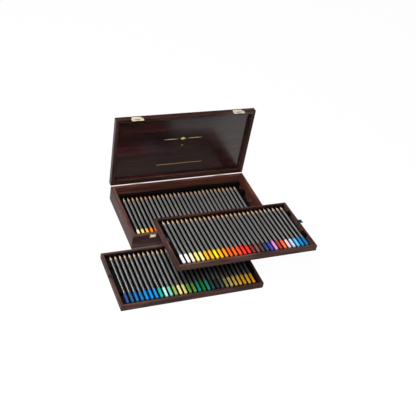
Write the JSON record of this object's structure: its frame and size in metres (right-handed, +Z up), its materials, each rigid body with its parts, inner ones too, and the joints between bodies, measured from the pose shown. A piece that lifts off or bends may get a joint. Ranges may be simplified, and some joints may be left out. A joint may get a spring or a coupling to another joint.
{
  "type": "pencil case",
  "caption": "Hinged wooden pencil case with two lift-out trays, moulded comb inserts, snap catches and a row of coloured pencils on each level.",
  "frame": {"origin": "centre of the case's underside", "axes": "+Z up, +X to the right seen from the front, hinges at +Y and catches at -Y"},
  "size_m": [0.5524, 0.4572, 0.2748],
  "materials": {
    "wood": "dark stained, satin lacquer",
    "brass": "pale brass plate, bright",
    "insert": "moulded, matt black",
    "pencil": "black lacquer with coloured ends",
    "ribbon": "woven black ribbon"
  },
  "bodies": {
    "case": {"base_pencils": "pencil", "base_ribbon_left": "ribbon", "base_ribbon_right": "ribbon", "case_back": "wood", "case_bottom": "wood", "case_front": "wood", "case_hinge_screws": "brass", "case_insert": "insert", "case_left": "wood", "case_right": "wood", "hinge_left_case_leaf": "brass", "hinge_pins": "brass", "hinge_right_case_leaf": "brass", "keeper_left": "brass", "keeper_nails": "brass", "keeper_right": "brass"},
    "lid": {"catch_left_plate": "brass", "catch_pins": "brass", "catch_plate_nails": "brass", "catch_right_plate": "brass", "hinge_left_lid_leaf": "brass", "hinge_right_lid_leaf": "brass", "lid_back": "wood", "lid_front": "wood", "lid_hinge_screws": "brass", "lid_left": "wood", "lid_panel": "wood", "lid_right": "wood"},
    "catch_left": {"catch_left_lever": "brass"},
    "catch_right": {"catch_right_lever": "brass"},
    "upper_tray": {"upper_pencils": "pencil", "upper_ribbon_left": "ribbon", "upper_ribbon_right": "ribbon", "upper_tray_back": "wood", "upper_tray_bottom": "wood", "upper_tray_front": "wood", "upper_tray_insert": "insert", "upper_tray_left": "wood", "upper_tray_right": "wood"},
    "lower_tray": {"lower_pencils": "pencil", "lower_ribbon_left": "ribbon", "lower_ribbon_right": "ribbon", "lower_tray_back": "wood", "lower_tray_bottom": "wood", "lower_tray_front": "wood", "lower_tray_insert": "insert", "lower_tray_left": "wood", "lower_tray_right": "wood"}
  },
  "joints": [
    {"name": "lid_hinge", "type": "hinge", "parent": "case", "child": "lid", "pos_m": [0, 0.112, 0.04615], "axis": [1, 0, 0], "range_deg": [0, 90]},
    {"name": "catch_left_pivot", "type": "hinge", "parent": "lid", "child": "catch_left", "pos_m": [-0.152, 0.11835, 0.27175], "axis": [-1, 0, 0], "range_deg": [-7, 100]},
    {"name": "catch_right_pivot", "type": "hinge", "parent": "lid", "child": "catch_right", "pos_m": [0.152, 0.11835, 0.27175], "axis": [-1, 0, 0], "range_deg": [-7, 100]},
    {"name": "upper_tray_lift", "type": "slide", "parent": "case", "child": "upper_tray", "axis": [0, 0, 1], "range_m": [0, 0.2]},
    {"name": "lower_tray_draw", "type": "slide", "parent": "case", "child": "lower_tray", "axis": [0, -1, 0], "range_m": [0, 0.22]}
  ]
}
